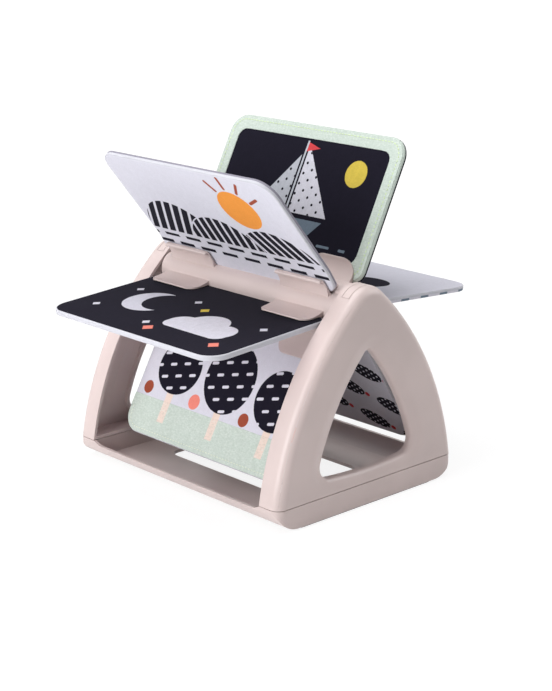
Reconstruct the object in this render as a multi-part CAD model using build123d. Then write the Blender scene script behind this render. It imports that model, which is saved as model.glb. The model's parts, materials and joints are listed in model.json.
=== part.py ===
"""Spinning activity book: a tray with two side frames carries a drum that holds six clipped-in pages."""
from build123d import *
import os
from math import cos, radians, sin, sqrt

# Axes: X runs along the spindle, -Y is the front, Z is up from the table. All lengths are in millimetres.

# Frame
length = 260.0              # over both side frames
seam_depth = 210.0          # front to rear, where the side frames stand on the tray
seam_height = 20.0          # from the table to that seam
side_width = 22.0           # of a side frame, along X
bow_radius = 266.0          # of the bowed front and rear outlines
apex_radius = 24.0          # of the round top
apex_over_axle = 27.2
leg_width = 43.5            # from the outline to the window
edge_round = 9.0            # of the outer edges
shell_wall = 2.6
seam_gap = 0.6              # shadow line between tray and side frame
seam_inset = 1.2
seam_land = 0.2             # of the tray's rim behind the side frame's outline

# Window of a side frame
rim_width = 12.0            # of the soft rim on the outer face, along the legs
rim_drop = 7.0              # and along the sill
rim_fall = 3.2              # of the rim towards the window
rim_depth = 10.0            # from the outer face to the end of the window's wall
rim_round = 16.0            # where the rim leaves the outer face
throat_round = 4.0          # where it turns into the window
window_apex_round = 6.0
window_corner = 12.0
sill_height = 31.0          # at its lowest point
sill_radius = 450.0

# Tray
foot_height = 1.5
floor_thickness = 3.0
belly_radius = 24.0         # of the rounded front and rear
lip_drop = 3.6              # of the front and rear lip below the seam
lip_run = 7.0               # length over which the lip drops
opening_length = 146.0
opening_depth = 96.0
opening_corner = 12.0
foot_width = 18.0
foot_length = 158.0
foot_corner = 4.0

# Screws between tray and side frames
screw_reach = 45.0          # front and rear of the middle
screw_radius = 1.6
screw_head_radius = 3.2
screw_head_height = 1.6
screw_bite = 4.0            # into the side frame
screw_gap = 0.1
boss_radius = 5.0

# Spindle
journal_radius = 5.5
run_gap = 0.05
bush_wall = 2.5
bush_gap = 0.1              # round the bush in its saddle
collar_radius = 9.0
thrust_gap = 0.4            # between the collar and the bush
saddle_inset = 4.5          # of the saddle and its cap behind the shell's edge
saddle_wall = 7.0
cap_length = 37.0           # along the apex
cap_width = 8.5             # along X
cap_depth = 12.0
cap_gap = 0.45

# Drum
drum_radius = 24.0          # where the pages leave it
drum_swell = 2.0            # of a panel's middle beyond that
drum_end_gap = 1.0          # to the side frames
panel_wall = 2.6
panel_gap = 0.2             # between neighbouring panels
flange_wall = 2.0
core_flat = 12.0            # from the spindle to the core's flats
core_bore = 5.0
plug_gap = 0.1
plug_length = 12.0
hub_thickness = 2.8
hub_gap = 0.2

# Clip tabs
tab_reach = 46.0            # from the spindle to the tips of the flat tabs
tab_corner = 10.0
arched_tab_reach = 43.0
arched_tab_corner = 18.0
short_tab_reach = 40.0
short_tab_corner = 3.0
tab_width_share = 0.525     # of half the drum's length
tab_end_inset = 8.5         # from the drum's end to the nearest tab
tab_gap = 0.9               # from the page where the tab is nearest, room for felt
tab_root_gap = 1.2          # from the page at the root
tab_wall = 1.5
tab_flare = 0.4             # of the tip away from the page
tab_foot = 8.0              # from the page's middle to where the tab grows out of the drum

# Pages
page_count = 6
spoke_phase = -3.4          # degrees above the front horizontal, first page
page_leans = (-0.5, -6.0, 0.0, 6.7, 0.0, 2.4)   # degrees that the pages droop beyond the tabs
page_bend = 48.0            # from the spindle to where they droop
page_reach = 152.0          # from the spindle
page_floor_gap = 2.8
page_side_gap = 2.0         # to the side frames
page_thickness = 4.6
page_corner = 18.0
page_heel = 10.0            # corner next to the drum
heel_gap = 2.0              # from the drum to the page's full width
root_inset = 12.0           # each end of the root, narrower than the page
root_gap = 0.4
felt_thickness = 0.7
felt_border = 13.0
felt_border_corner = 9.0
felt_band_width = 34.0

overrun = 1.0               # of cuts past the faces

# Places that follow from the sizes above
half_length = length / 2
half_depth = seam_depth / 2
inner_face = half_length - side_width
side_middle = half_length - side_width / 2
floor_top = foot_height + floor_thickness
lip_height = seam_height - lip_drop
axle_height = floor_top + page_floor_gap + page_reach
apex_height = axle_height + apex_over_axle
page_half = page_thickness / 2
page_half_width = inner_face - page_side_gap
root_half_width = page_half_width - root_inset
leaf_start = drum_radius + heel_gap
drum_half = inner_face - drum_end_gap
core_half = drum_half - hub_thickness - hub_gap
tab_width = tab_width_share * drum_half
tab_place = drum_half - tab_end_inset - tab_width / 2
bush_radius = journal_radius + run_gap + bush_wall
saddle_face = inner_face + saddle_inset
saddle_end = saddle_face + cap_width
page_step = 360 / page_count
screw_rows = (-screw_reach, screw_reach)
frame_reach = 2 * (length + bow_radius)     # longer than anything it has to cut or cover
upright = (Align.CENTER, Align.CENTER, Align.MIN)


def band(low, high):
    """Everything between two heights of a Y-Z drawing."""
    return Pos(0, (low + high) / 2) * Rectangle(frame_reach, high - low)


def slab(drawing, low, high):
    """A Y-Z drawing pulled from one X to another."""
    return extrude(Plane.YZ.offset(low) * drawing, high - low)


def bow_centre():
    """Centre of the rear bow: it starts at the seam and runs smoothly into the round apex."""
    seam_corner = Vector(half_depth, seam_height)
    apex_centre = Vector(0, apex_height - apex_radius)
    chord = apex_centre - seam_corner
    reach = bow_radius - apex_radius
    along = (bow_radius**2 - reach**2 + chord.length**2) / (2 * chord.length)
    across = sqrt(bow_radius**2 - along**2)
    heading = chord.normalized()
    return seam_corner + heading * along + Vector(-heading.Y, heading.X) * across


def between_bows(inset):
    """The pointed region between the front and rear bows, drawn in by an inset."""
    centre = bow_centre()
    rear = Pos(centre.X, centre.Y) * Circle(bow_radius - inset)
    front = Pos(-centre.X, centre.Y) * Circle(bow_radius - inset)
    return rear & front


def side_outline(inset, low):
    """Outline of a side frame above a height, with its round apex."""
    pointed = between_bows(inset) & band(low, frame_reach)
    apex = pointed.vertices().sort_by(Axis.Y)[-1]
    return fillet(apex, apex_radius - inset)


def window_outline(growth, drop):
    """Window with bowed sides and a bowed sill, grown along the legs and dropped at the sill."""
    sill = Pos(0, sill_height - drop + sill_radius) * Circle(sill_radius)
    pointed = between_bows(leg_width - growth) & sill
    corners = pointed.vertices().sort_by(Axis.Y)
    rounded = fillet(corners[:2], window_corner + drop)
    apex = rounded.vertices().sort_by(Axis.Y)[-1]
    return fillet(apex, window_apex_round + growth)


def rim_flare(wall):
    """Flared mouth of the window towards the outer face, or its back behind a wall."""
    mouth = half_length - wall
    throat = Plane.YZ.offset(mouth - rim_fall) * window_outline(wall, wall)
    rim = Plane.YZ.offset(mouth) * window_outline(rim_width + wall, rim_drop + wall)
    return loft([throat.face(), rim.face()], ruled=True)


def outer_face(solid):
    """Outermost flat face of the right side frame."""
    return solid.faces().sort_by(Axis.X)[-1]


def side_body():
    """Solid outside form of the right side frame, window and all."""
    body = slab(side_outline(0, seam_height + seam_gap), inner_face, half_length)
    body = fillet(outer_face(body).edges().sort_by(Axis.Z)[1:], edge_round)
    body -= slab(window_outline(0, 0), inner_face - overrun, half_length)
    body -= rim_flare(0)
    throat = body.edges().group_by(lambda edge: abs(edge.center().X - half_length + rim_fall))[0]
    body = fillet(throat, throat_round)
    return fillet(outer_face(body).inner_wires()[0].edges(), rim_round)


def side_cavity():
    """Inside of the side shell, open towards the book; the window's wall stands in its outer part."""
    hollow = side_outline(shell_wall, seam_height + seam_gap + shell_wall)
    wall_end = half_length - rim_depth
    behind_rim = slab(hollow - window_outline(shell_wall, shell_wall), wall_end, half_length - shell_wall)
    return slab(hollow, inner_face - overrun, wall_end) + (behind_rim - rim_flare(shell_wall))


def seam_seat():
    """Foot of the side frame inside the shadow line, where it stands on the tray."""
    seat = Box(side_width - 2 * seam_inset, seam_depth - 2 * edge_round, seam_gap, align=upright)
    return Pos(side_middle, 0, seam_height) * seat


def cap_block(gap):
    """Room for the cap at the apex, or with a gap the cap itself."""
    block = Rectangle(cap_length - 2 * gap, cap_depth)
    place = Pos(0, apex_height - cap_depth / 2)
    return slab(place * block, saddle_face + gap, saddle_end - gap)


def bush_slot(gap):
    """Upright slot over the spindle that the bush drops into, drawn in by a gap."""
    half = bush_radius + bush_gap - gap
    top = apex_height - cap_depth
    return Pos(0, (axle_height + top) / 2) * Rectangle(2 * half, top - axle_height)


def side_shell():
    """Right side frame: a thin moulded shell with the saddle for the spindle under its apex."""
    body = side_body()
    saddle_half = cap_length / 2 + shell_wall
    saddle_low = axle_height - bush_radius - saddle_wall
    saddle = Pos(0, (saddle_low + apex_height) / 2) * Rectangle(2 * saddle_half, apex_height - saddle_low)
    saddle = slab(saddle, saddle_face, half_length - shell_wall / 2) & body
    boss_low = seam_height + seam_gap
    boss = Cylinder(boss_radius, sill_height - shell_wall / 2 - boss_low, align=upright)
    pilot = Cylinder(screw_radius + screw_gap, screw_bite + screw_gap, align=upright)
    shell = body - side_cavity() + saddle + seam_seat()
    for y in screw_rows:
        shell += Pos(side_middle, y, boss_low) * boss & body
        shell -= Pos(side_middle, y, seam_height) * pilot
    seat = Pos(0, axle_height) * Circle(bush_radius + bush_gap) + bush_slot(0)
    shell -= slab(seat, saddle_face - overrun, saddle_end)
    return shell - cap_block(0)


def axle_cap():
    """Inlay that closes the right saddle: its top follows the apex and its stem holds the bush down."""
    outside = slab(side_outline(0, axle_height), inner_face, half_length)
    stem = bush_slot(cap_gap) - Pos(0, axle_height) * Circle(bush_radius + bush_gap)
    return (cap_block(cap_gap) & outside) + slab(stem, saddle_face + cap_gap, saddle_end - cap_gap)


def bearing_bush():
    """Plain bush of the right saddle."""
    ring = Pos(0, axle_height) * (Circle(bush_radius) - Circle(journal_radius + run_gap))
    return slab(ring, saddle_face, saddle_end - cap_gap)


def tray_profile(inset, low):
    """Section across the tray above a height: flat floor and round bellies, drawn in by an inset."""
    centre_height = foot_height + belly_radius
    reach = half_depth - sqrt(belly_radius**2 - (centre_height - seam_height) ** 2)
    bellies = [Pos(y, centre_height) * Circle(belly_radius - inset) for y in (-reach, reach)]
    middle = Pos(0, centre_height) * Rectangle(2 * reach, 2 * (belly_radius - inset))
    return (middle + bellies[0] + bellies[1]) & band(low, seam_height)


def tray_plan(inset):
    """The tray seen from above, as an upright block with rounded corners."""
    depth = seam_depth - 2 * (inset + seam_land)
    plan = RectangleRounded(length - 2 * inset, depth, edge_round - inset)
    return extrude(plan, seam_height + overrun)


def lip_cut():
    """What is taken off the front and rear lips between the side frames."""
    ends = (inner_face, inner_face - lip_run)
    top = seam_height + overrun
    corners = [(-ends[0], top), (-ends[0], seam_height), (-ends[1], lip_height)]
    corners += [(-x, z) for x, z in reversed(corners)]
    drawing = make_face(Polyline(*corners, close=True))
    bends = drawing.vertices().sort_by(Axis.Y)[:2]
    drawing = fillet(bends, lip_run)
    return extrude(Plane.XZ * drawing, half_depth, both=True)


def base_tray():
    """Tray with a moulded floor, an opening in it, and a hollow bar under each side frame."""
    tray = slab(tray_profile(0, foot_height), -half_length, half_length) & tray_plan(0)
    inside = tray_profile(shell_wall, floor_top)
    tray -= slab(inside, -inner_face, inner_face)
    pocket = slab(inside, inner_face + shell_wall, half_length) & tray_plan(shell_wall + seam_inset)
    tray -= pocket
    tray -= mirror(pocket, about=Plane.YZ)
    tray -= lip_cut()
    tray -= extrude(RectangleRounded(opening_length, opening_depth, opening_corner), floor_top + overrun)
    hole = Cylinder(screw_radius + screw_gap, seam_height, align=upright)
    head = Cylinder(screw_head_radius + screw_gap, screw_head_height, align=upright)
    boss = Cylinder(boss_radius, seam_height - foot_height, align=upright)
    for x in (-side_middle, side_middle):
        for y in screw_rows:
            tray += Pos(x, y, foot_height) * boss
            tray -= Pos(x, y, foot_height) * hole
            tray -= Pos(x, y, foot_height) * head
    return tray


def foot_strip():
    """Soft strip under the right side bar."""
    strip = RectangleRounded(foot_width, foot_length, foot_corner)
    return Pos(side_middle, 0, 0) * extrude(strip, foot_height)


def base_screws():
    """Screws from under the tray into the side frames, as one group."""
    screw = Cylinder(screw_head_radius, screw_head_height, align=upright)
    screw += Cylinder(screw_radius, seam_height + screw_bite - foot_height, align=upright)
    places = [(x, y) for x in (-side_middle, side_middle) for y in screw_rows]
    return Compound([Pos(x, y, foot_height) * screw for x, y in places])


def drum_core():
    """Six-sided core: each flat carries the root of a page and the flanges beside it."""
    flats = RegularPolygon(core_flat, page_count, major_radius=False, rotation=page_step / 2)
    return slab(flats - Circle(core_bore), -core_half, core_half)


def end_hub():
    """Right end disc of the drum, with its plug, thrust collar and journal."""
    disc = slab(Circle(drum_radius - panel_wall - hub_gap), core_half, core_half + hub_thickness)
    collar = slab(Circle(collar_radius), core_half, saddle_face - thrust_gap)
    journal = slab(Circle(journal_radius), core_half, saddle_end - thrust_gap)
    plug = slab(Circle(core_bore - plug_gap), core_half - plug_length, core_half)
    return disc + collar + journal + plug


def panel_lobe():
    """Circle that a panel's outside follows: through the drum's radius at both pages, swollen between them."""
    half_step = radians(page_step / 2)
    mouth = sqrt(drum_radius**2 - page_half**2) * cos(half_step) + page_half * sin(half_step)
    top = drum_radius + drum_swell
    shift = drum_swell * (drum_swell + 2 * drum_radius) / (2 * (top - mouth))
    return Rot(0, 0, page_step / 2) * Pos(shift, 0) * Circle(top - shift)


def panel_wedge(gap):
    """The sixth of the drum between two pages, clear of each page's middle by a gap."""
    reach = 2 * drum_radius
    above = Pos(0, gap + reach) * Rectangle(2 * reach, 2 * reach)
    below = Rot(0, 0, page_step) * Pos(0, -gap - reach) * Rectangle(2 * reach, 2 * reach)
    return (panel_lobe() - Circle(drum_radius - panel_wall)) & above & below


def tab_section(reach):
    """Section of a clip tab beside a page that lies along the drawing's first axis."""
    root = drum_radius - panel_wall / 2
    middle = (root + reach) / 2
    near = page_half + tab_gap
    tip = near + tab_flare
    foot = sqrt(drum_radius**2 - tab_foot**2)
    inner = ThreePointArc((root, page_half + tab_root_gap), (middle, near), (reach, tip))
    lip = ThreePointArc((reach, tip), (reach + tab_wall / 2, tip + tab_wall / 2), (reach, tip + tab_wall))
    outer = ThreePointArc((reach, tip + tab_wall), (middle, near + tab_wall), (foot, tab_foot))
    return make_face([inner, lip, outer, Line((foot, tab_foot), (root, page_half + tab_root_gap))])


def clip_tab(place, reach, corner):
    """One tab with rounded outer corners, at a place along the drum."""
    blade = slab(tab_section(reach), place - tab_width / 2, place + tab_width / 2)
    depth = reach + tab_wall / 2
    plan = Pos(0, depth / 2) * Rectangle(tab_width, depth)
    plan = fillet(plan.vertices().group_by(Axis.Y)[-1], corner)
    return blade & Pos(place, 0) * extrude(plan, reach)


def clamp_panel(near_reach, near_corner):
    """Drum panel between two pages: swollen wall, a flange beside each page root, and its clip tabs."""
    slot_half = root_half_width + root_gap
    flange_length = drum_radius - panel_wall / 2 - core_flat
    flange_middle = Pos(core_flat + flange_length / 2, page_half + flange_wall / 2)
    flange = flange_middle * Rectangle(flange_length, flange_wall)
    far_flange = Rot(0, 0, page_step) * mirror(flange, about=Plane.XZ)
    panel = slab(panel_wedge(page_half) + flange + far_flange, -slot_half, slot_half)
    closed_end = slab(panel_wedge(panel_gap / 2), slot_half, drum_half)
    panel += closed_end
    panel += mirror(closed_end, about=Plane.YZ)
    for place in (-tab_place, tab_place):
        panel += clip_tab(place, near_reach, near_corner)
        panel += Rot(page_step, 0, 0) * mirror(clip_tab(place, tab_reach, tab_corner), about=Plane.XY)
    return panel


def leaf_outline():
    """Page outside the drum, seen flat: large outer corners, small ones next to the drum."""
    depth = page_reach - leaf_start
    leaf = Pos(0, leaf_start + depth / 2) * Rectangle(2 * page_half_width, depth)
    leaf = fillet(leaf.vertices().group_by(Axis.Y)[-1], page_corner)
    return fillet(leaf.vertices().group_by(Axis.Y)[0], page_heel)


def leaned(shape, lean):
    """The drooping part of a page, turned about its bend."""
    return Pos(0, page_bend, 0) * Rot(-lean, 0, 0) * Pos(0, -page_bend, 0) * shape


def page(lean):
    """One page: a narrower root in the drum, and the leaf outside it that bends beyond the tabs."""
    root_depth = leaf_start + page_thickness - core_flat
    root = Pos(0, core_flat + root_depth / 2) * Rectangle(2 * root_half_width, root_depth)
    leaf = leaf_outline()
    if not lean:
        return extrude(root + leaf, page_half, both=True)
    inner = Pos(0, page_bend / 2) * Rectangle(2 * inner_face, page_bend)
    straight = extrude(root + (leaf & inner), page_half, both=True)
    overlap = page_half * sin(radians(abs(lean)))
    outer = Pos(0, page_bend - overlap + page_reach / 2) * Rectangle(2 * inner_face, page_reach)
    return straight + leaned(extrude(leaf & outer, page_half, both=True), lean)


def felt_frame():
    """Felt border on the front of the third page."""
    depth = page_reach - leaf_start - 2 * felt_border
    width = 2 * (page_half_width - felt_border)
    hole = Pos(0, leaf_start + felt_border + depth / 2) * RectangleRounded(width, depth, felt_border_corner)
    return Pos(0, 0, page_half) * extrude(leaf_outline() - hole, felt_thickness)


def felt_band():
    """Felt band along the outer edge of the sixth page's front."""
    strip = Pos(0, page_reach - felt_band_width / 2) * Rectangle(2 * page_half_width, felt_band_width)
    return Pos(0, 0, -page_half - felt_thickness) * extrude(leaf_outline() & strip, felt_thickness)


def on_spoke(shape, index):
    """Carries a shape drawn beside the Y axis to a page's spoke."""
    turn = 180 - spoke_phase - page_step * index
    return Pos(0, 0, axle_height) * Rot(turn, 0, 0) * shape


def on_axle(shape):
    """Lifts a shape drawn round the X axis to the spindle."""
    return Pos(0, 0, axle_height) * shape


def both_sides(name, right):
    """A right-hand piece and its mirror image."""
    return {name + "_right": right, name + "_left": mirror(right, about=Plane.YZ)}


def assembly():
    """Every piece by name, in place."""
    pieces = {"base_tray": base_tray(), "base_screws": base_screws()}
    pieces.update(both_sides("foot_strip", foot_strip()))
    pieces.update(both_sides("side_shell", side_shell()))
    pieces.update(both_sides("bearing_bush", bearing_bush()))
    pieces.update(both_sides("axle_cap", axle_cap()))
    pieces.update(both_sides("end_hub", on_axle(end_hub())))
    pieces["drum_core"] = on_spoke(drum_core(), 0)
    panels = clamp_panel(arched_tab_reach, arched_tab_corner), clamp_panel(short_tab_reach, short_tab_corner)
    for index in range(page_count):
        pieces[f"clamp_panel_{index + 1}"] = on_spoke(panels[index % len(panels)], index)
        pieces[f"page_{index + 1}"] = on_spoke(page(page_leans[index]), index)
    pieces["felt_frame"] = on_spoke(leaned(felt_frame(), page_leans[2]), 2)
    pieces["felt_band"] = on_spoke(leaned(felt_band(), page_leans[5]), 5)
    return pieces


os.makedirs("parts", exist_ok=True)
for name, piece in assembly().items():
    export_step(piece, f"parts/{name}.step")
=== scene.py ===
"""Looks of the spinning activity book: a moulded stand and drum, padded cloth pages and plain prints."""
import json
from math import copysign, cos, pi, radians, sin, tan

import bmesh
import bpy
from mathutils import Matrix, Vector


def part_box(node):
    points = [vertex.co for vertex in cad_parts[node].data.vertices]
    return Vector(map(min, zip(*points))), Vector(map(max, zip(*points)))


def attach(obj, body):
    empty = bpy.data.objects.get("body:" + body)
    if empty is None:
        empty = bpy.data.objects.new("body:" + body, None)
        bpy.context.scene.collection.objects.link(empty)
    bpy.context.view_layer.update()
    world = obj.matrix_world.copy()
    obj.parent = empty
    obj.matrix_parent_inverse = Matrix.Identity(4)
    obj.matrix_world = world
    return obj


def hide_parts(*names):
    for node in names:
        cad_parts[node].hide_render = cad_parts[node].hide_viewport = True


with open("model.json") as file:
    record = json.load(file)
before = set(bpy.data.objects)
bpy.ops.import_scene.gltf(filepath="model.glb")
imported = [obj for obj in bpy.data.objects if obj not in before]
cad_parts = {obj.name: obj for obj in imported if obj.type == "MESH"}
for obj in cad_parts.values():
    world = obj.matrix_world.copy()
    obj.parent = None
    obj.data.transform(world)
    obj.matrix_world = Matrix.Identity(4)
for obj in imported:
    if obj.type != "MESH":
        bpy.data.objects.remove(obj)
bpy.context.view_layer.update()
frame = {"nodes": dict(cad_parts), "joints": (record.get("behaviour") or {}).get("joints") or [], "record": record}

# Lengths are in metres. A page is drawn flat: x runs along the spindle, y away from it, z out of its front.

# Pages
page_half_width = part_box("page_1")[1].x
page_reach = 0.152
page_start = 0.026
page_thickness = 0.0046
page_corner = 0.018
page_heel = 0.010
page_edge = 0.0011          # rounding along the rim
page_crown = 0.0005         # swelling of each face away from the rim
crown_run = 0.030           # length over which it swells
page_leans = (-0.5, -6.0, 0.0, 6.7, 0.0, 2.4)
page_bend = 0.048           # from the spindle to where the pages droop
bend_run = 0.008            # length of the bend
spoke_phase = -3.4
spoke_step = 60.0
root_half_width = 0.094
root_start = 0.0125
root_corner = 0.002

# Felt and its stitches
felt_thickness = 0.0007
felt_edge = 0.0003
felt_inset = 0.0007         # of its outer edge from the page's rim
felt_corner = 0.001
felt_border = 0.013
felt_border_corner = 0.009
felt_band = 0.034
stitch_inset = 0.0045
stitch_step = 0.0036
stitch_length = 0.0026
stitch_radius = 0.00045

# Rolled lips along the short tabs of the drum
lip_pages = (1, 3, 5)
lip_radius = 0.0016
lip_reach = 0.0395          # from the spindle
lip_height = 0.0060         # from the middle of the page
lip_place = 0.0704          # of each from the middle of the drum
lip_half_length = 0.0272

# Meshing of soft pieces
outline_step = 0.005
corner_steps = 8
edge_steps = 4
ring_shares = (0.05, 0.12, 0.22, 0.35, 0.5, 0.68, 0.84, 1.0)

# Soft lamps: place, size and power in watts
lamp_target = Vector((0, 0, 0.11))
lamps = (
    ("front", (0.05, -1.75, 0.58), 0.9, 19.6),
    ("front_high", (-0.35, -1.35, 1.45), 1.6, 12.8),
    ("top", (-0.20, -0.10, 2.00), 1.4, 25.0),
    ("rear", (0.90, 1.50, 1.20), 1.2, 16.0),
)

# Crowns of the printed trees: middle, half width and half height
orchard_crowns = ((-0.062, 0.004, 0.027, 0.025), (0.002, 0.008, 0.030, 0.032), (0.065, 0.002, 0.027, 0.027))

# Places that follow from the sizes above
axle = Vector(frame["joints"][0]["pos_m"])
page_half = page_thickness / 2
page_middle = (page_start + page_reach) / 2
page_half_height = (page_reach - page_start) / 2

# Colours as they look on a screen, 0 to 255
blush = (214, 197, 194)
white_cloth = (219, 218, 229)
black_ink = (29, 27, 39)
sage = (203, 215, 206)
orange = (240, 155, 70)
coral = (240, 140, 125)
russet = (160, 80, 60)
yellow = (218, 194, 84)
slate = (120, 135, 150)
grey = (196, 199, 208)
# painted shade: grey cloth for the second page's back rim, standing in for its unlit side
rim_painted_shade = (150, 147, 160)
# painted shade: a greyer copy of the white cloth for the page rims, darker than the faces to tone down the lit
# rims
rim_white_shaded = (206, 206, 214)
red = (215, 75, 80)
beige = (238, 218, 206)
border_thread = (222, 240, 188)
band_thread = (232, 238, 222)


def linear(colour):
    """A screen colour as linear light, with full alpha."""
    def channel(value):
        share = value / 255
        return share / 12.92 if share <= 0.04045 else ((share + 0.055) / 1.055) ** 2.4
    return tuple(channel(value) for value in colour) + (1.0,)


class Value:
    """A number that varies over a surface, built from math nodes."""

    def __init__(self, tree, socket):
        self.tree = tree
        self.socket = socket

    def math(self, operation, *others):
        node = self.tree.nodes.new("ShaderNodeMath")
        node.operation = operation
        for socket, term in zip(node.inputs, (self, *others)):
            if isinstance(term, Value):
                self.tree.links.new(term.socket, socket)
            else:
                socket.default_value = term
        return Value(self.tree, node.outputs[0])

    def __add__(self, other):
        return self.math("ADD", other)

    def __sub__(self, other):
        return self.math("SUBTRACT", other)

    def __mul__(self, other):
        return self.math("MULTIPLY", other)

    def __neg__(self):
        return self * -1

    def __abs__(self):
        return self.math("ABSOLUTE")

    def __and__(self, other):
        """Where both shapes are."""
        return self.math("MAXIMUM", other)

    def __or__(self, other):
        """Where either shape is."""
        return self.math("MINIMUM", other)

    def root(self):
        return self.math("SQRT")

    def repeated(self, step):
        """The same stretch over and over, centred on 0."""
        return self.math("WRAP", step / 2, -step / 2)

    def row(self, step):
        """The number of the stretch that repeated() is in."""
        return (self * (1 / step) + 0.5).math("FLOOR")


class Point:
    """Two coordinates on a surface, and the plain shapes drawn there: below 0 inside, in metres."""

    def __init__(self, x, y):
        self.x = x
        self.y = y

    def at(self, place, turn=0.0):
        """The same surface seen from a place on it, turned by some degrees."""
        x, y = self.x - place[0], self.y - place[1]
        if not turn:
            return Point(x, y)
        c, s = cos(radians(turn)), sin(radians(turn))
        return Point(x * c + y * s, y * c - x * s)

    def repeated(self, step_x, step_y, shift_share=0.0):
        """Tiles, with each second row moved along by a share of the step."""
        shifted = self.x + self.y.row(step_y) * (step_x * shift_share)
        return Point(shifted.repeated(step_x), self.y.repeated(step_y))

    def disc(self, radius):
        return (self.x * self.x + self.y * self.y).root() - radius

    def oval(self, half_x, half_y):
        """An ellipse, true in size along both axes."""
        stretched = Point(self.x, self.y * (half_x / half_y))
        return stretched.disc(half_x)

    def block(self, half_x, half_y):
        return (abs(self.x) - half_x) & (abs(self.y) - half_y)

    def diamond(self, reach):
        return abs(self.x) + abs(self.y) - reach

    def bar(self, half_length, radius):
        """A stroke with round ends."""
        beyond = (abs(self.x) - half_length).math("MAXIMUM", 0.0)
        return (beyond * beyond + self.y * self.y).root() - radius

    def wedge(self, half_foot, height):
        """A triangle that stands on y = 0 with its tip above the middle."""
        lean = half_foot / height
        return (abs(self.x) + self.y * lean - half_foot) & -self.y


class Shades:
    """A procedural material in the making."""

    def __init__(self, name):
        self.material = bpy.data.materials.new(name)
        self.material.use_nodes = True
        self.tree = self.material.node_tree
        self.shader = self.tree.nodes["Principled BSDF"]
        self.place = self.tree.nodes.new("ShaderNodeTexCoord").outputs["Object"]

    def node(self, kind, settings=(), **inputs):
        made = self.tree.nodes.new(kind)
        for name, value in settings:
            setattr(made, name, value)
        for name, value in inputs.items():
            socket = made.inputs[name.replace("_", " ")]
            if isinstance(value, bpy.types.NodeSocket):
                self.tree.links.new(value, socket)
            else:
                socket.default_value = value
        return made

    def noise(self, grain, detail=3.0, stretch=None):
        """Noise with grains of about that size, 0 to 1."""
        place = self.place
        if stretch:
            place = self.node("ShaderNodeMapping", Vector=place, Scale=stretch).outputs[0]
        made = self.node("ShaderNodeTexNoise", Vector=place, Scale=1 / grain, Detail=detail)
        return Value(self.tree, made.outputs[0])

    def span(self, value, low, high, start=0.0, end=1.0):
        """A value spread from start to end while it goes from low to high."""
        made = self.node("ShaderNodeMapRange", Value=value.socket)
        for name, number in (("From Min", low), ("From Max", high), ("To Min", start), ("To Max", end)):
            made.inputs[name].default_value = number
        return Value(self.tree, made.outputs[0])

    def mix(self, factor, under, over, blend="MIX"):
        """One colour over another; each is a screen colour or a socket."""
        made = self.tree.nodes.new("ShaderNodeMix")
        made.data_type = "RGBA"
        made.blend_type = blend
        for socket, value in ((made.inputs[0], factor), (made.inputs[6], under), (made.inputs[7], over)):
            if isinstance(value, Value):
                self.tree.links.new(value.socket, socket)
            elif isinstance(value, bpy.types.NodeSocket):
                self.tree.links.new(value, socket)
            else:
                socket.default_value = value if isinstance(value, float) else linear(value)
        return made.outputs[2]

    def bump(self, height, depth, strength=1.0):
        made = self.node("ShaderNodeBump", Height=height.socket, Distance=depth, Strength=strength)
        self.tree.links.new(made.outputs[0], self.shader.inputs["Normal"])

    def feed(self, name, socket):
        self.tree.links.new(socket.socket if isinstance(socket, Value) else socket, self.shader.inputs[name])

    def set(self, **values):
        for name, value in values.items():
            self.shader.inputs[name.replace("_", " ")].default_value = value
        return self


def plastic(name, colour, roughness):
    """Moulded plastic: satin, with a fine spark-eroded grain and faint clouding."""
    shades = Shades(name)
    cloud_size, patch_size, grain_size, grain_depth = 0.06, 0.012, 0.0007, 0.00002
    cloud = shades.noise(cloud_size, 2.0)
    deep = tuple(0.965 * channel for channel in colour)
    shades.feed("Base Color", shades.mix(shades.span(cloud, 0.35, 0.65), colour, deep))
    grain = shades.noise(grain_size, 2.0)
    patches = shades.noise(patch_size)
    shades.feed("Roughness", shades.span(patches, 0.3, 0.7, roughness - 0.04, roughness + 0.05))
    shades.bump(grain, grain_depth, 0.6)
    return shades.set(Specular_IOR_Level=0.5).material


def steel(name):
    """Plain zinc-plated screws."""
    shades = Shades(name)
    shades.feed("Base Color", shades.mix(shades.noise(0.002), (186, 188, 192), (160, 162, 168)))
    shades.feed("Roughness", shades.span(shades.noise(0.0008), 0.3, 0.7, 0.28, 0.42))
    return shades.set(Metallic=1.0).material


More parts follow.
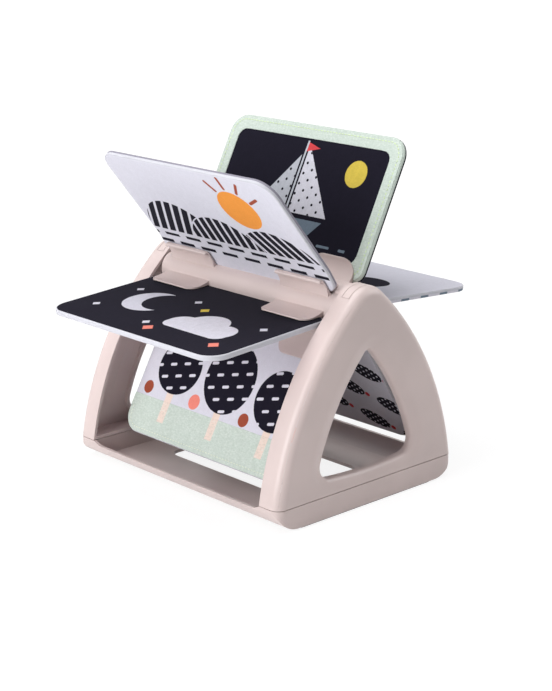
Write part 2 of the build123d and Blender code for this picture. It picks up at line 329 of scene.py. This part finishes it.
class Cloth(Shades):
    """Soft needled cloth, dyed or printed."""

    wobble = 0.0005             # of printed edges, from the nap
    wobble_grain = 0.0016
    soft = 0.00018              # blur of printed edges
    fine_grain = 0.0011
    broad_grain = 0.0045
    fibre_grain = 0.0022
    strand_grain = 0.0013
    nap_depth = 0.00022

    def __init__(self, name, ground, facing=1):
        super().__init__(name)
        parts = self.node("ShaderNodeSeparateXYZ", Vector=self.place).outputs
        nap = self.noise(self.wobble_grain, 2.0) - 0.5
        x = Value(self.tree, parts["X"]) + nap * self.wobble
        y = (Value(self.tree, parts["Y"]) - page_middle) * float(facing) + nap * self.wobble
        self.print = Point(x, y)
        self.colour = ground

    def paint(self, shape, colour):
        """Prints a shape in one colour over what is there."""
        cover = self.span(shape, -self.soft, self.soft, 1.0, 0.0)
        self.colour = self.mix(cover, self.colour, colour)

    def finish(self, nap_share=0.075, fleck=None):
        """Adds the nap: light and dark fibres, a soft bump and sheen; fleck is a light and a dark colour."""
        fine = self.noise(self.fine_grain)
        broad = self.noise(self.broad_grain)
        fibre = self.noise(self.fibre_grain, 2.0, (1.0, 0.22, 1.0))
        tone = fine * 0.5 + broad * 0.3 + fibre * 0.2
        shade = self.span(tone, 0.36, 0.64, 1 - nap_share, 1.0)
        channels = dict.fromkeys(("Red", "Green", "Blue"), shade.socket)
        grey_tone = self.node("ShaderNodeCombineColor", **channels)
        colour = self.mix(1.0, self.colour, grey_tone.outputs[0], "MULTIPLY")
        if fleck:
            strands = self.noise(self.strand_grain, 4.0, (0.6, 1.0, 1.0))
            light, dark = fleck
            colour = self.mix(self.span(strands, 0.53, 0.66, 0.0, 0.4), colour, light)
            colour = self.mix(self.span(strands, 0.47, 0.34, 0.0, 0.3), colour, dark)
        self.feed("Base Color", colour)
        self.bump(fine * 0.6 + fibre * 0.4, self.nap_depth, 0.7)
        self.set(Roughness=0.92, Specular_IOR_Level=0.06, Sheen_Weight=0.02, Sheen_Roughness=0.5)
        return self.material


def dashes(point):
    """Short strokes in rows, each second row moved along."""
    return point.repeated(0.017, 0.011, 0.5).bar(0.0026, 0.0013)


def night_print(name):
    """Moon, cloud and stars on black."""
    cloth = Cloth(name, black_ink, facing=-1)
    moon, cloud = (-0.046, 0.002), (0.040, -0.018)
    bite = cloth.print.at((moon[0] + 0.013, moon[1] + 0.006)).disc(0.021)
    cloth.paint(cloth.print.at(moon).disc(0.025) & -bite, white_cloth)
    puffs = [((-0.022, 0.0), 0.014), ((-0.002, 0.008), 0.021), ((0.022, 0.002), 0.015)]
    shape = cloth.print.at((cloud[0], cloud[1] - 0.004)).bar(0.026, 0.010)
    for (x, y), radius in puffs:
        shape = shape | cloth.print.at((cloud[0] + x, cloud[1] + y)).disc(radius)
    cloth.paint(shape, white_cloth)
    for place in ((0.006, -0.044), (0.082, -0.040)):
        cloth.paint(cloth.print.at(place).diamond(0.0058), coral)
    stars = (-0.080, -0.030), (-0.012, 0.026), (-0.006, -0.036), (0.086, 0.010), (-0.082, 0.020)
    for place in stars:
        cloth.paint(cloth.print.at(place).diamond(0.0042), white_cloth)
    cloth.paint(cloth.print.at((0.010, 0.014)).diamond(0.0050), yellow)
    return cloth.finish(0.16)


def hill_print(name):
    """Sun over striped hills and a dashed path, on white."""
    cloth = Cloth(name, white_cloth)
    ground_line = -0.031
    sun = (0.046, 0.022)
    for turn in (30, 62, 94, 126):
        ray = cloth.print.at(sun, turn).at((0.031, 0.0))
        cloth.paint(ray.bar(0.0060, 0.0015), russet)
    cloth.paint(cloth.print.at(sun).disc(0.022), orange)
    above = -(cloth.print.y - ground_line)
    for place, radius, slant in (((-0.058, -0.036), 0.048, 62), ((0.060, -0.050), 0.050, 118),
                                 ((-0.004, -0.044), 0.047, 84)):
        hill = cloth.print.at(place).disc(radius)
        cloth.paint(hill & above, white_cloth)
        stripes = abs(cloth.print.at(place, slant).y.repeated(0.0098)) - 0.0034
        cloth.paint((hill + 0.0012) & above & stripes, black_ink)
    for row, shift in ((-0.0375, 0.0), (-0.0470, 0.014)):
        line = cloth.print.at((shift, row))
        cloth.paint(Point(line.x.repeated(0.028), line.y).block(0.0095, 0.0018), black_ink)
    return cloth.finish()


def boat_print(name):
    """Sailing boat under a low sun, on black."""
    cloth = Cloth(name, black_ink)
    mast = (-0.004, -0.018)
    cloth.paint(cloth.print.at((0.062, 0.026)).disc(0.012), yellow)
    cloth.paint(cloth.print.at((mast[0], 0.010)).block(0.0010, 0.038), grey)
    sheet = cloth.print.at((mast[0], mast[1] + 0.001))
    jib = sheet.at((-0.003, 0.0)).wedge(0.038, 0.052) & (sheet.x + 0.003)
    main = sheet.at((0.003, 0.0)).wedge(0.046, 0.062) & -(sheet.x - 0.003)
    dots = cloth.print.at((0.0, 0.0), 24).repeated(0.0095, 0.0082, 0.5).disc(0.0013)
    for sail, colour in ((jib, grey), (main, white_cloth)):
        cloth.paint(sail, colour)
        cloth.paint(sail & dots, black_ink)
    hull = cloth.print.at((mast[0], mast[1] - 0.003))
    cloth.paint(hull.y & -(hull.y + 0.014) & (abs(hull.x) - hull.y * 0.9 - 0.046), slate)
    pennant = cloth.print.at((mast[0] + 0.001, 0.0425), -90)
    cloth.paint(pennant.wedge(0.0042, 0.015), red)
    waves = Point(cloth.print.x.repeated(0.026), cloth.print.y + 0.0405).bar(0.0065, 0.0011)
    cloth.paint(waves & (abs(cloth.print.x) - 0.078), slate)
    return cloth.finish(0.16)


def orchard_trunks(surface):
    """Tree trunks that run from the white cloth onto the felt."""
    trunks = [surface.at((x, -0.034)).block(0.0042, 0.016) for x, *_ in orchard_crowns]
    return trunks[0] | trunks[1] | trunks[2]


def orchard_print(name):
    """Three round trees with white dashes, and fallen fruit, on white."""
    cloth = Cloth(name, white_cloth, facing=-1)
    cloth.paint(orchard_trunks(cloth.print), beige)
    strokes = dashes(cloth.print.at((0.0, 0.0), 14))
    for x, y, half_x, half_y in orchard_crowns:
        crown = cloth.print.at((x, y)).oval(half_x, half_y)
        cloth.paint(crown, black_ink)
        cloth.paint(crown & strokes, white_cloth)
    for place, radius, colour in (((-0.030, -0.021), 0.0068, coral), ((0.034, -0.022), 0.0060, russet),
                                  ((-0.092, -0.021), 0.0060, russet), ((0.093, -0.020), 0.0068, coral)):
        cloth.paint(cloth.print.at(place).disc(radius), colour)
    return cloth.finish()


def leaf_print(name):
    """Dark spotted leaves with red berries, on white."""
    cloth = Cloth(name, white_cloth, facing=-1)
    tiles = cloth.print.at((0.012, 0.006), -18).repeated(0.046, 0.034, 0.5)
    leaf = tiles.oval(0.0165, 0.0085)
    cloth.paint(leaf, black_ink)
    spots = cloth.print.at((0.0, 0.0), 30).repeated(0.0052, 0.0046, 0.5).disc(0.0010)
    cloth.paint(leaf & spots, white_cloth)
    cloth.paint(tiles.at((0.0195, 0.0)).disc(0.0026), red)
    return cloth.finish()


def spot_print(name):
    """Large dark spots on white."""
    cloth = Cloth(name, white_cloth)
    for place, half_x, half_y in (((0.048, -0.010), 0.022, 0.018), ((0.000, -0.030), 0.015, 0.010),
                                  ((-0.050, -0.030), 0.021, 0.014), ((-0.016, 0.022), 0.012, 0.008),
                                  ((-0.070, 0.020), 0.014, 0.010)):
        cloth.paint(cloth.print.at(place).oval(half_x, half_y), black_ink)
    return cloth.finish()


def dotted_print(name, ground, ink, step, radius):
    """Even dots on a plain ground."""
    cloth = Cloth(name, ground)
    cloth.paint(cloth.print.repeated(step, step, 0.5).disc(radius), ink)
    return cloth.finish()


def striped_print(name, ground, ink, step, half_width):
    """Even slanting stripes on a plain ground."""
    cloth = Cloth(name, ground)
    cloth.paint(abs(cloth.print.at((0.0, 0.0), 35).y.repeated(step)) - half_width, ink)
    return cloth.finish()


def plain_cloth(name, colour):
    return Cloth(name, colour).finish()


def felt(name, facing=1, trunks=False):
    """Mottled sage felt, in places with the foot of a print."""
    cloth = Cloth(name, sage, facing)
    if trunks:
        cloth.paint(orchard_trunks(cloth.print) & -(cloth.print.y + 0.048), beige)
    return cloth.finish(0.08, fleck=((227, 234, 228), (172, 188, 174)))


def slot_frame(index):
    """Frame of the slot in the drum that holds a page's root."""
    turn = Matrix.Rotation(radians(180 - spoke_phase - spoke_step * index), 4, "X")
    return Matrix.Translation(axle) @ turn


def spoke(index):
    """Frame of a page's flat leaf: its slot's direction, then its droop at the bend."""
    bend = Matrix.Translation((0, page_bend, 0))
    lean = Matrix.Rotation(radians(-page_leans[index]), 4, "X")
    return slot_frame(index) @ bend @ lean @ bend.inverted()


def rounded(corners):
    """Closed outline through corners, each given as a point and a radius, in even steps."""
    points = [Vector(point) for point, _ in corners]
    outline = []
    for i, (_, radius) in enumerate(corners):
        corner = points[i]
        back = (points[i - 1] - corner).normalized()
        ahead = (points[(i + 1) % len(points)] - corner).normalized()
        half = back.angle(ahead) / 2
        centre = corner + (back + ahead).normalized() * (radius / sin(half))
        arc = [corner + way * (radius / tan(half)) - centre for way in (back, ahead)]
        for k in range(corner_steps + 1):
            share = k / corner_steps
            outline.append(centre + arc[0].lerp(arc[1], share).normalized() * radius)
    even = []
    for i, point in enumerate(outline):
        after = outline[(i + 1) % len(outline)]
        count = max(1, round((after - point).length / outline_step))
        even += [point.lerp(after, k / count) for k in range(count)]
    return even


def drawn_in(outline, inset):
    """The outline moved inwards; it runs anticlockwise."""
    moved = []
    for i, point in enumerate(outline):
        along = outline[(i + 1) % len(outline)] - outline[i - 1]
        moved.append(point + Vector((-along.y, along.x)).normalized() * inset)
    return moved


def flat(point):
    """No swelling."""
    return 0.0


def eased(share):
    """Smooth step from 0 to 1."""
    share = min(max(share, 0.0), 1.0)
    return share * share * (3 - 2 * share)


def page_swell(point):
    """How far a page's face stands out: nothing at the rim and under the tabs, smooth in between."""
    runs = page_half_width - abs(point.x), page_reach - point.y, point.y - page_bend
    height = page_crown
    for run in runs:
        height *= eased(run / crown_run)
    return height


def pad(name, outline, spine, half, edge, swell):
    """A soft slab whose faces run in rings to a spine: materials 0 up, 1 down, 2 and 3 on the rim."""
    low, high, middle = spine
    bm = bmesh.new()

    def ring(points, height):
        return [bm.verts.new((point.x, point.y, height)) for point in points]

    def inward(side):
        inside = drawn_in(outline, edge)
        for share in ring_shares:
            moved = [p.lerp(Vector((min(max(p.x, low), high), middle)), share) for p in inside]
            yield [bm.verts.new((p.x, p.y, side * (half + swell(p)))) for p in moved]

    quarter = [k / edge_steps * pi / 2 for k in range(edge_steps + 1)]
    profile = [(edge * (1 - sin(turn)), half - edge * (1 - cos(turn))) for turn in quarter]
    profile += [(0.0, 0.0)] + [(inset, -height) for inset, height in reversed(profile)]
    rim = [ring(drawn_in(outline, inset), height) for inset, height in profile]
    rings = [*reversed(list(inward(1))), *rim, *inward(-1)]
    top, bottom = len(ring_shares), len(ring_shares) + len(rim) - 1
    middle_ring = len(rings) // 2
    for i, (first, second) in enumerate(zip(rings, rings[1:])):
        for k in range(len(outline)):
            after = (k + 1) % len(outline)
            face = bm.faces.new((first[k], first[after], second[after], second[k]))
            face.material_index = 0 if i < top else 1 if i >= bottom else 2 + (i >= middle_ring)
            face.smooth = True
    bmesh.ops.remove_doubles(bm, verts=bm.verts, dist=1e-6)
    bmesh.ops.dissolve_degenerate(bm, edges=bm.edges, dist=1e-7)
    bmesh.ops.recalc_face_normals(bm, faces=bm.faces)
    return piece_of(name, bm)


def piece_of(name, bm):
    """Turns a mesh in the making into a piece in the scene."""
    mesh = bpy.data.meshes.new(name)
    bm.to_mesh(mesh)
    bm.free()
    piece = bpy.data.objects.new(name, mesh)
    bpy.context.scene.collection.objects.link(piece)
    return piece


def worn(piece, *materials):
    """Gives a piece its materials, in the order of its faces' numbers."""
    if piece.data.materials:
        piece.data.materials.clear()
    for material in materials:
        piece.data.materials.append(material)


def leaf_corners(inset):
    """Corners of a leaf outside the drum, drawn in."""
    right, low, high = page_half_width - inset, page_start + inset, page_reach - inset
    return [((-right, low), page_heel), ((right, low), page_heel),
            ((right, high), page_corner - inset), ((-right, high), page_corner - inset)]


def page_outline():
    """A leaf with the narrower root that goes into the drum."""
    root = [((-root_half_width, root_start), root_corner), ((root_half_width, root_start), root_corner),
            ((root_half_width, page_start), root_corner)]
    left = ((-root_half_width, page_start), root_corner)
    corners = leaf_corners(0.0)
    return rounded([*root, *corners[1:], corners[0], left])


def bent_root(piece, lean):
    """Turns the part inside the bend back in line with its slot."""
    bend = Vector((0, page_bend, 0))
    for vertex in piece.data.vertices:
        share = eased((page_bend + bend_run / 2 - vertex.co.y) / bend_run)
        vertex.co = bend + Matrix.Rotation(radians(lean * share), 3, "X") @ (vertex.co - bend)


def page(index, up, down, rim_up, rim_down):
    """One padded page in place of its plain solid."""
    reach = page_half_width - page_half_height
    piece = pad(f"padded_page_{index + 1}", page_outline(), (-reach, reach, page_middle),
                page_half, page_edge, page_swell)
    bent_root(piece, page_leans[index])
    worn(piece, up, down, rim_up, rim_down)
    carried(piece, index, f"page_{index + 1}")
    return piece


def carried(piece, index, *nodes):
    """Puts a piece on its page's spoke and on the rotor."""
    piece.matrix_world = spoke(index)
    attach(piece, "rotor")
    if nodes:
        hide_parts(*nodes)


def felt_frame(material):
    """Felt border sewn on the third page."""
    outer = rounded(leaf_corners(felt_inset))
    right, low = page_half_width - felt_border, page_start + felt_border
    high = page_reach - felt_border
    corners = (-right, low), (right, low), (right, high), (-right, high)
    inner = matched(rounded([(corner, felt_border_corner) for corner in corners]), outer)
    base = page_half - felt_edge
    top = page_half + felt_thickness
    outer_top = drawn_in(outer, felt_edge)
    inner_top = drawn_in(inner, -felt_edge)
    loops = [(inner, base), (inner, top - felt_edge), (inner_top, top), (outer_top, top),
             (outer, top - felt_edge), (outer, base)]
    bm = bmesh.new()
    rings = [[bm.verts.new((p.x, p.y, z)) for p in loop] for loop, z in loops]
    for first, second in zip(rings, rings[1:] + rings[:1]):
        for k in range(len(outer)):
            after = (k + 1) % len(outer)
            bm.faces.new((first[k], first[after], second[after], second[k]))
    bmesh.ops.recalc_face_normals(bm, faces=bm.faces)
    piece = piece_of("felt_border", bm)
    worn(piece, material)
    carried(piece, 2, "felt_frame")


def matched(loop, other):
    """The point of a loop nearest to each point of another, so that the two can be joined."""
    centre = Vector((0, page_middle))
    ways = [(p - centre).normalized() for p in loop]
    found = []
    for point in other:
        way = (point - centre).normalized()
        for i, first in enumerate(ways):
            second = ways[(i + 1) % len(ways)]
            if first.cross(way) >= 0 > second.cross(way) and first.dot(way) > 0:
                a, b = loop[i], loop[(i + 1) % len(loop)]
                share = (a - centre).cross(way) / ((a - centre).cross(way) - (b - centre).cross(way))
                found.append(a.lerp(b, share))
                break
    return found


def felt_strip(material):
    """Felt band sewn along the outer edge of the sixth page."""
    right, low, high = page_half_width - felt_inset, page_reach - felt_band, page_reach - felt_inset
    round_off = page_corner - felt_inset
    outline = rounded([((-right, low), felt_corner), ((right, low), felt_corner),
                       ((right, high), round_off), ((-right, high), round_off)])
    half = (felt_thickness + felt_edge) / 2
    reach = page_half_width - felt_band / 2
    piece = pad("felt_strip", outline, (-reach, reach, (low + high) / 2), half, felt_edge, flat)
    piece.data.transform(Matrix.Translation((0, 0, -page_half - felt_thickness + half)))
    worn(piece, *[material] * 4)
    carried(piece, 5, "felt_band")


def stitches(name, path, height, index, material):
    """A line of stitches, half sunk into the felt."""
    bm = bmesh.new()
    gone = stitch_step
    for point, after in zip(path, path[1:]):
        run = (after - point).length
        while gone <= run:
            middle = point.lerp(after, gone / run)
            way = (after - point).normalized()
            turn = Matrix.Rotation(Vector((1, 0)).angle_signed(way) * -1, 4, "Z")
            size = Matrix.Diagonal((stitch_length / 2, stitch_radius, stitch_radius, 1.0))
            place = Matrix.Translation((middle.x, middle.y, height)) @ turn @ size
            bmesh.ops.create_uvsphere(bm, u_segments=8, v_segments=6, radius=1.0, matrix=place)
            gone += stitch_step
        gone -= run
    for face in bm.faces:
        face.smooth = True
    piece = piece_of(name, bm)
    worn(piece, material)
    carried(piece, index)


def tab_lips(material):
    """Lips that the drum's solids leave plain: a bar with round ends on the tip of each short tab."""
    bm = bmesh.new()
    along = Matrix.Rotation(pi / 2, 4, "Y")
    for index in lip_pages:
        for place in (-lip_place, lip_place):
            ball = bmesh.ops.create_uvsphere(bm, u_segments=16, v_segments=11, radius=lip_radius)["verts"]
            for vertex in ball:
                vertex.co.z += copysign(lip_half_length - lip_radius, vertex.co.z)
            home = slot_frame(index) @ Matrix.Translation((place, lip_reach, lip_height)) @ along
            bmesh.ops.transform(bm, matrix=home, verts=ball)
    for face in bm.faces:
        face.smooth = True
    piece = piece_of("tab_lips", bm)
    worn(piece, material)
    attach(piece, "rotor")


def dress_solids():
    """Materials of the moulded, turned and hidden pieces."""
    looks = {
        "blush_plastic": plastic("blush_moulding", blush, 0.36),
        "inner_plastic": plastic("inner_moulding", (170, 156, 152), 0.55),
        "bush_plastic": plastic("bush_moulding", (232, 230, 224), 0.3),
        # painted shade: the foot strips are the stand's plastic made dark, standing in for the shadow line under
        # the base
        "foot_rubber": plastic("foot_rubber", (92, 76, 72), 0.8),
        "screw_steel": steel("screw_steel"),
    }
    for row in frame["record"]["subparts"]:
        if row["material_slot"] in looks:
            worn(frame["nodes"][row["node"]], looks[row["material_slot"]])
    tab_lips(looks["blush_plastic"])


def dress_pages():
    """Every page with its prints, then the felt and the stitches."""
    # white rims take the painted shade copy of the white cloth
    white, black = plain_cloth("shaded_white_rim", rim_white_shaded), plain_cloth("black_rim", black_ink)
    dots = dotted_print("coral_dots", white_cloth, coral, 0.024, 0.005)
    page(0, dots, night_print("night"), white, white)
    back = dotted_print("white_dots", black_ink, white_cloth, 0.022, 0.0035)
    # the second page's back rim is the painted shade grey, for its unlit side
    page(1, hill_print("hills"), back, white, plain_cloth("painted_shade_rim", rim_painted_shade))
    back = striped_print("slate_stripes", black_ink, slate, 0.026, 0.005)
    page(2, boat_print("boat"), back, plain_cloth("sage_rim", sage), black)
    back = striped_print("grey_stripes", white_cloth, slate, 0.02, 0.004)
    page(3, spot_print("spots"), back, white, back)
    dots = dotted_print("yellow_dots", white_cloth, yellow, 0.030, 0.007)
    page(4, dots, leaf_print("leaves"), white, white)
    dots = dotted_print("orange_dots", black_ink, orange, 0.034, 0.006)
    page(5, dots, orchard_print("orchard"), black, white)
    felt_frame(felt("border_felt"))
    felt_strip(felt("band_felt", facing=-1, trunks=True))
    loop = rounded(leaf_corners(stitch_inset))
    stitches("border_stitches", loop + loop[:1], page_half + felt_thickness, 2,
             plain_cloth("border_thread", border_thread))
    right, low, high = page_half_width - stitch_inset, page_reach - felt_band, page_reach - stitch_inset
    band = [((-right, low + stitch_inset), felt_corner), ((right, low + stitch_inset), felt_corner),
            ((right, high), page_corner - stitch_inset), ((-right, high), page_corner - stitch_inset)]
    outer_run = [point for point in rounded(band) if point.y > low + 2 * stitch_inset]
    stitches("band_stitches", outer_run, -page_half - felt_thickness, 5,
             plain_cloth("band_thread", band_thread))


def seen_rays(tree):
    """1 for what the camera sees, straight on or in gloss and glass, and 0 for light."""
    path = tree.nodes.new("ShaderNodeLightPath").outputs
    rays = [Value(tree, path[name]) for name in ("Is Camera Ray", "Is Glossy Ray", "Is Transmission Ray")]
    return (rays[0] + rays[1] + rays[2]).math("MINIMUM", 1.0)


def stage():
    """Pale floor with the part's shadow, which goes out to white."""
    floor_size = 40.0
    shadow_reach = 0.8
    shades = Shades("floor")
    lit = shades.node("ShaderNodeBsdfDiffuse").outputs[0]
    tone = shades.mix(shades.noise(0.4), (250, 250, 250), (246, 246, 246))
    shades.tree.links.new(tone, lit.node.inputs["Color"])
    paper = shades.node("ShaderNodeEmission", Strength=1.08).outputs[0]
    parts = shades.node("ShaderNodeSeparateXYZ", Vector=shades.place).outputs
    away = Point(Value(shades.tree, parts["X"]), Value(shades.tree, parts["Y"])).disc(0.0)
    share = shades.span(away, shadow_reach / 2, shadow_reach, 0.8, 1.0) * seen_rays(shades.tree)
    both = shades.node("ShaderNodeMixShader", Fac=share.socket)
    shades.tree.links.new(lit, both.inputs[1])
    shades.tree.links.new(paper, both.inputs[2])
    shades.tree.links.new(both.outputs[0], shades.tree.nodes["Material Output"].inputs["Surface"])
    mesh = bpy.data.meshes.new("floor")
    half = floor_size / 2
    corners = (-half, -half, 0), (half, -half, 0), (half, half, 0), (-half, half, 0)
    mesh.from_pydata(corners, [], [(0, 1, 2, 3)])
    floor = bpy.data.objects.new("floor", mesh)
    bpy.context.scene.collection.objects.link(floor)
    worn(floor, shades.material)


def surroundings(strength):
    """White all round: plain for the camera, softer as light."""
    world = bpy.data.worlds.new("studio")
    bpy.context.scene.world = world
    world.use_nodes = True
    tree = world.node_tree
    back = tree.nodes["Background"]
    back.inputs["Color"].default_value = (1.0, 1.0, 1.0, 1.0)
    level = seen_rays(tree) * (1.0 - strength) + strength
    tree.links.new(level.socket, back.inputs["Strength"])


def lamp(name, place, size, energy):
    """A soft square lamp that looks at the middle of the part."""
    light = bpy.data.lights.new(name, "AREA")
    light.size = size
    light.energy = energy
    holder = bpy.data.objects.new(name, light)
    bpy.context.scene.collection.objects.link(holder)
    holder.location = place
    holder.rotation_euler = (lamp_target - Vector(place)).to_track_quat("-Z", "Y").to_euler()


def camera():
    """The photograph's view: azimuth and height from a fit to the stand's edges."""
    azimuth, elevation = radians(47.12), radians(15.31)
    distance = 1.4596
    target = Vector((0, 0, 0.1316))
    image = (552, 691)
    focal_pixels = 1683.25
    centre_pixel = (263.0, 322.0)
    data = bpy.data.cameras.new("photo_view")
    data.lens = data.sensor_width * focal_pixels / max(image)
    data.shift_x = (image[0] / 2 - centre_pixel[0]) / max(image)
    data.shift_y = (centre_pixel[1] - image[1] / 2) / max(image)
    holder = bpy.data.objects.new("photo_view", data)
    bpy.context.scene.collection.objects.link(holder)
    back = Vector((sin(azimuth) * cos(elevation), -cos(azimuth) * cos(elevation), sin(elevation)))
    holder.location = target + back * distance
    holder.rotation_euler = back.to_track_quat("Z", "Y").to_euler()
    bpy.context.scene.camera = holder


dress_solids()
dress_pages()
stage()
surroundings(0.03)
for name, place, size, energy in lamps:
    lamp(name, place, size, energy)
camera()
bpy.context.scene.view_settings.view_transform = "Standard"
